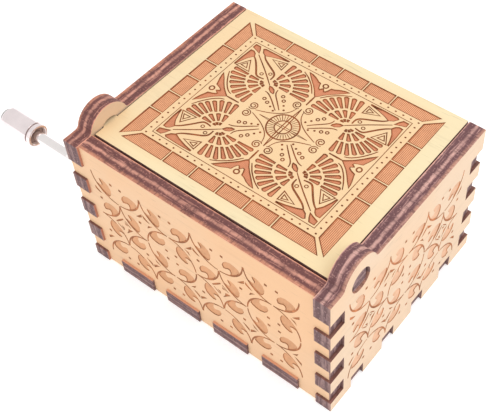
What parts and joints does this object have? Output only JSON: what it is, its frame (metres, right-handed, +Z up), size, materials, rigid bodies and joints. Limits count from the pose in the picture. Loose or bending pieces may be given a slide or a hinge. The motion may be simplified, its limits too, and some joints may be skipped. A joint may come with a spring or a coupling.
{
  "type": "hand-crank music box",
  "caption": "Small finger-jointed plywood box with a pegged lid and a bent metal crank on one side that turns a pinned cylinder against a steel comb inside.",
  "frame": {"origin": "centre of the underside of the wooden box, without the crank", "axes": "+Z up; -X the crank side, +X the plain side; -Y the hinge side, +Y the side where the lid opens"},
  "size_m": [0.0896, 0.0506, 0.041],
  "materials": {
    "lid_ply": "laser-cut plywood, pale veneer, satin",
    "wall_ply": "laser-cut plywood, warm pale veneer, satin",
    "base_ply": "laser-cut plywood, plain underside",
    "cast_bed": "cast, satin",
    "comb_steel": "ground spring steel",
    "screw_steel": "zinc plated",
    "bass_lead": "dull soft metal",
    "drum_brass": "turned, bright",
    "pin_steel": "fine wire",
    "wheel_nylon": "moulded, matt",
    "bracket_steel": "bright plated strip",
    "crank_chrome": "polished bent rod",
    "worm_brass": "cut thread, bright",
    "clip_steel": "blued spring steel",
    "knob_shell": "polished shell"
  },
  "bodies": {
    "box": {"crank_wall": "wall_ply", "plain_wall": "wall_ply", "hinge_wall": "wall_ply", "opening_wall": "wall_ply", "bottom_panel": "base_ply", "bedplate": "cast_bed", "bedplate_screws": "screw_steel", "comb": "comb_steel", "comb_screws": "screw_steel", "bass_weights": "bass_lead", "bearing_post": "bracket_steel", "post_screw": "screw_steel", "worm_bracket": "bracket_steel", "bracket_screws": "screw_steel"},
    "lid": {"lid": "lid_ply"},
    "crank": {"crank_rod": "crank_chrome", "worm": "worm_brass", "shaft_clip": "clip_steel", "knob_washer": "crank_chrome"},
    "cylinder": {"cylinder": "drum_brass", "cylinder_pins": "pin_steel", "cylinder_caps": "drum_brass", "cylinder_arbor": "screw_steel", "worm_wheel": "wheel_nylon"},
    "knob": {"knob": "knob_shell"}
  },
  "joints": [
    {"name": "lid_hinge", "type": "hinge", "parent": "box", "child": "lid", "pos_m": [0, -0.01636, 0.03515], "axis": [1, 0, 0], "range_deg": [0, 135]},
    {"name": "crank_turn", "type": "hinge", "parent": "box", "child": "crank", "pos_m": [-0.015, -0.0028, 0.022], "axis": [1, 0, 0], "continuous": true},
    {"name": "cylinder_turn", "type": "hinge", "parent": "box", "child": "cylinder", "pos_m": [-0.015, 0.0095, 0.0129], "axis": [0, 1, 0], "continuous": true},
    {"name": "knob_spin", "type": "hinge", "parent": "crank", "child": "knob", "pos_m": [-0.0523, -0.0211, 0.024], "axis": [1, 0, 0], "continuous": true}
  ],
  "couplings": [
    {"joint": "cylinder_turn", "follows": "crank_turn", "ratio": 0.041667}
  ]
}
